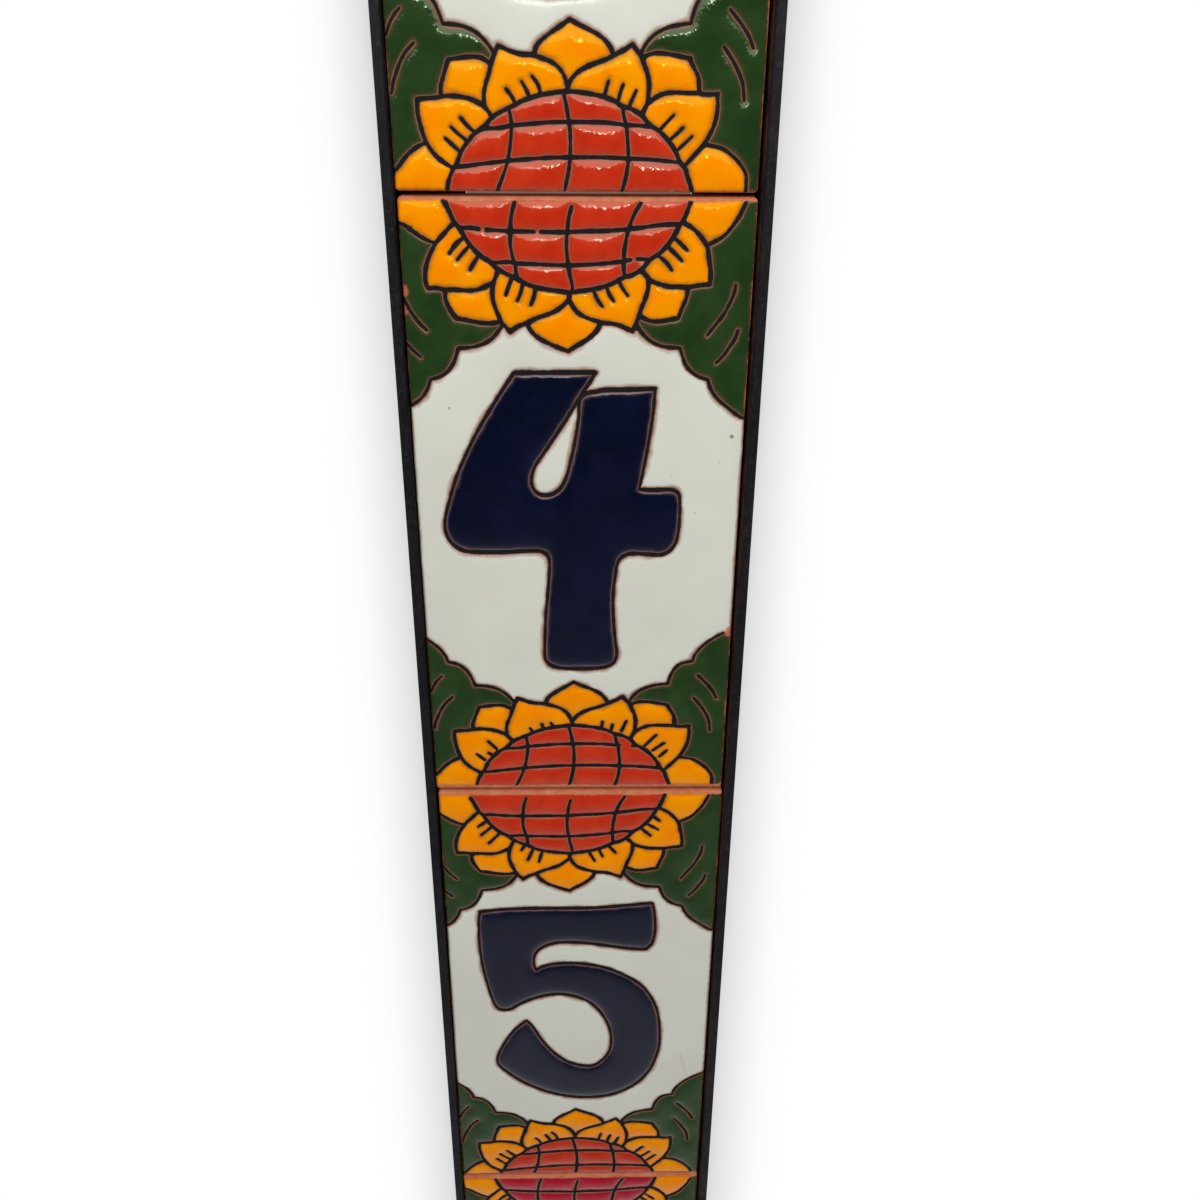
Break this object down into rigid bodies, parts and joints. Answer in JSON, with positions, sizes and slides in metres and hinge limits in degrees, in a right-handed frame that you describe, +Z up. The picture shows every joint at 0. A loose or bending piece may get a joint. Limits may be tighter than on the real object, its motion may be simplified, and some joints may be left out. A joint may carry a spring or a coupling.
{
  "type": "house number plaque",
  "caption": "Tall wall plaque for a house number: relief-glazed flower and numeral tiles in a black welded angle frame with screw ears.",
  "frame": {"origin": "midway between the two screw holes, on the wall plane at the plaque's back", "axes": "+X to the right for someone facing the plaque, +Y into the wall, +Z up; the tiles face -Y"},
  "size_m": [0.082, 0.016, 0.656],
  "materials": {
    "frame": "satin",
    "tile": "gloss",
    "adhesive": "matte"
  },
  "bodies": {
    "root": {"left_stile": "frame", "right_stile": "frame", "top_rail": "frame", "bottom_rail": "frame", "corner_welds": "frame", "top_ear": "frame", "bottom_ear": "frame", "ear_welds": "frame", "number_tile_3": "tile", "number_tile_4": "tile", "number_tile_5": "tile", "number_tile_6": "tile", "adhesive_tile_3": "adhesive", "adhesive_tile_4": "adhesive", "adhesive_tile_5": "adhesive", "adhesive_tile_6": "adhesive"}
  },
  "joints": []
}
